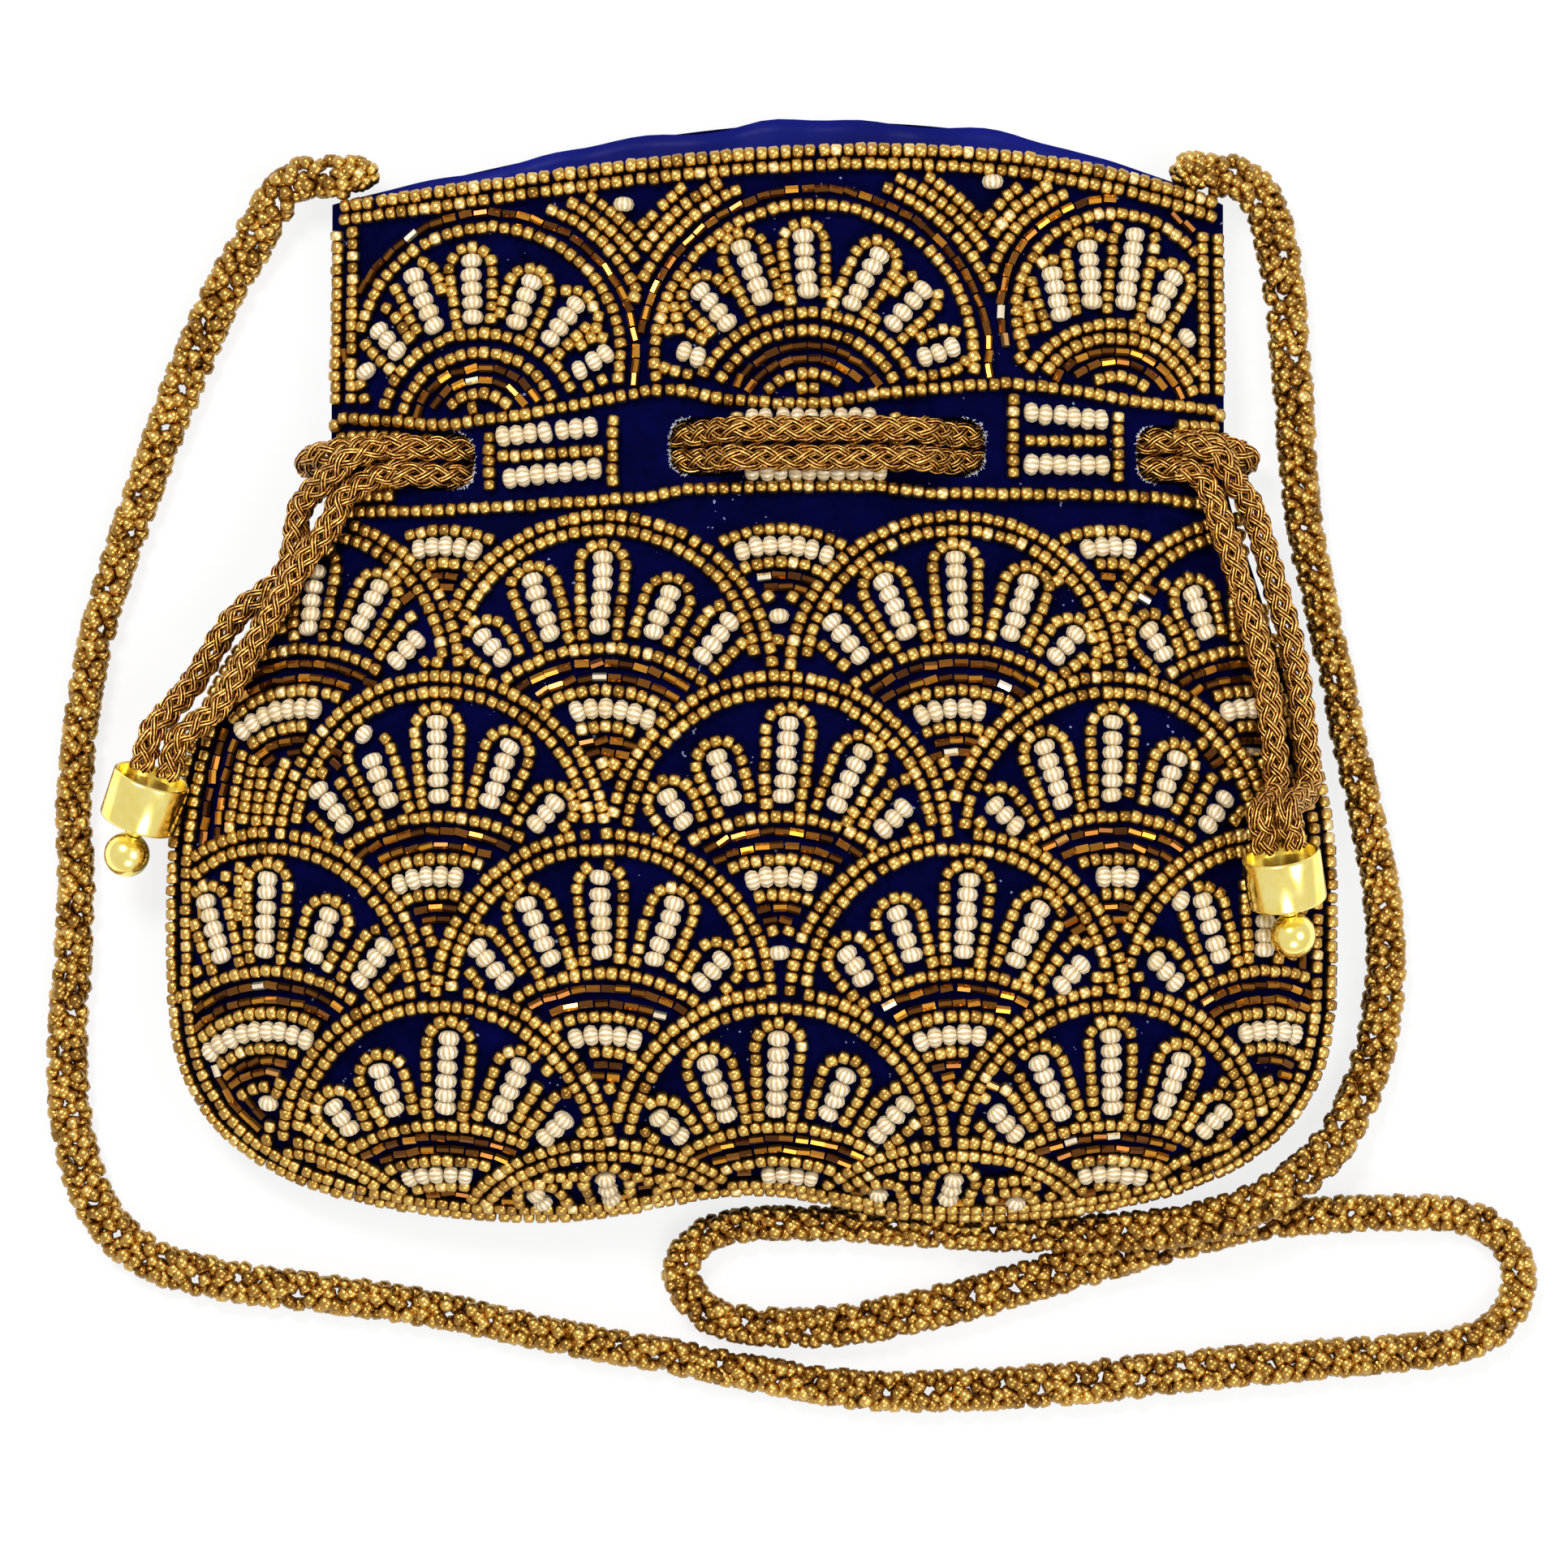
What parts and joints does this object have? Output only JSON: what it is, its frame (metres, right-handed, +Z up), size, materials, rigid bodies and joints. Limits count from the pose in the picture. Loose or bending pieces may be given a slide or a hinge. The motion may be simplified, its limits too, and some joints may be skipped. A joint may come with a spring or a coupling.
{
  "type": "beaded drawstring pouch",
  "caption": "Blue velvet drawstring pouch with fish-scale beadwork, gold draw cords and a plaited bead shoulder strap, lying flat.",
  "frame": {"origin": "on the surface that the pouch lies on, under the middle of its box without the strap and tails", "axes": "+X to the pouch's right seen from the front, +Y towards its mouth, +Z up out of its front"},
  "size_m": [0.2839, 0.246, 0.039],
  "materials": {
    "velvet": "short pile velvet, royal blue",
    "satin": "satin lining, bright blue",
    "seed_beads": "small bronze-gold metallic beads",
    "melon_beads": "fluted pale champagne metallic beads",
    "gold_braid": "braided metallic thread",
    "polished_gold": "polished yellow gold plating"
  },
  "bodies": {
    "pouch": {"front_panel": "velvet", "back_panel": "velvet", "lining": "satin", "mouth_edging": "seed_beads", "side_rows_left": "seed_beads", "side_rows_right": "seed_beads", "top_arch_left": "seed_beads", "top_arch_middle": "seed_beads", "top_arch_right": "seed_beads", "spandrel_left": "seed_beads", "spandrel_right": "seed_beads", "band_row_upper": "seed_beads", "band_row_lower": "seed_beads", "half_scale_left": "seed_beads", "half_scale_middle": "seed_beads", "half_scale_right": "seed_beads", "scallop_row_a": "seed_beads", "scallop_row_b": "seed_beads", "scallop_row_c": "seed_beads", "scallop_row_d": "seed_beads", "scallop_e1": "seed_beads", "scallop_e2": "seed_beads", "scallop_e3": "seed_beads", "shoulder_strap": "seed_beads", "strap_anchor_left": "seed_beads", "strap_anchor_right": "seed_beads", "top_fan_left": "melon_beads", "top_fan_middle": "melon_beads", "top_fan_right": "melon_beads", "plaque_left": "melon_beads", "plaque_right": "melon_beads", "plaque_middle": "melon_beads", "scale_fan_a1": "melon_beads", "scale_fan_a2": "melon_beads", "scale_fan_a3": "melon_beads", "scale_fan_a4": "melon_beads", "scale_fan_b1": "melon_beads", "scale_fan_b2": "melon_beads", "scale_fan_b3": "melon_beads", "scale_fan_c1": "melon_beads", "scale_fan_c2": "melon_beads", "scale_fan_c3": "melon_beads", "scale_fan_c4": "melon_beads", "scale_fan_d1": "melon_beads", "scale_fan_d2": "melon_beads", "scale_fan_d3": "melon_beads", "draw_cord_upper": "gold_braid", "draw_cord_lower": "gold_braid", "left_tail_1": "gold_braid", "left_tail_2": "gold_braid", "right_tail_1": "gold_braid", "right_tail_2": "gold_braid", "left_end_cap": "polished_gold", "left_end_stem": "polished_gold", "right_end_cap": "polished_gold", "right_end_stem": "polished_gold"},
    "left_ball": {"left_end_ball": "polished_gold"},
    "right_ball": {"right_end_ball": "polished_gold"}
  },
  "joints": [
    {"name": "left_ball_spin", "type": "hinge", "parent": "pouch", "child": "left_ball", "pos_m": [-0.11832, -0.03592, 0.0127], "axis": [-0.326, -0.9055, -0.2717], "continuous": true},
    {"name": "right_ball_spin", "type": "hinge", "parent": "pouch", "child": "right_ball", "pos_m": [0.10132, -0.05089, 0.02633], "axis": [0.1643, -0.942, -0.2925], "continuous": true}
  ]
}
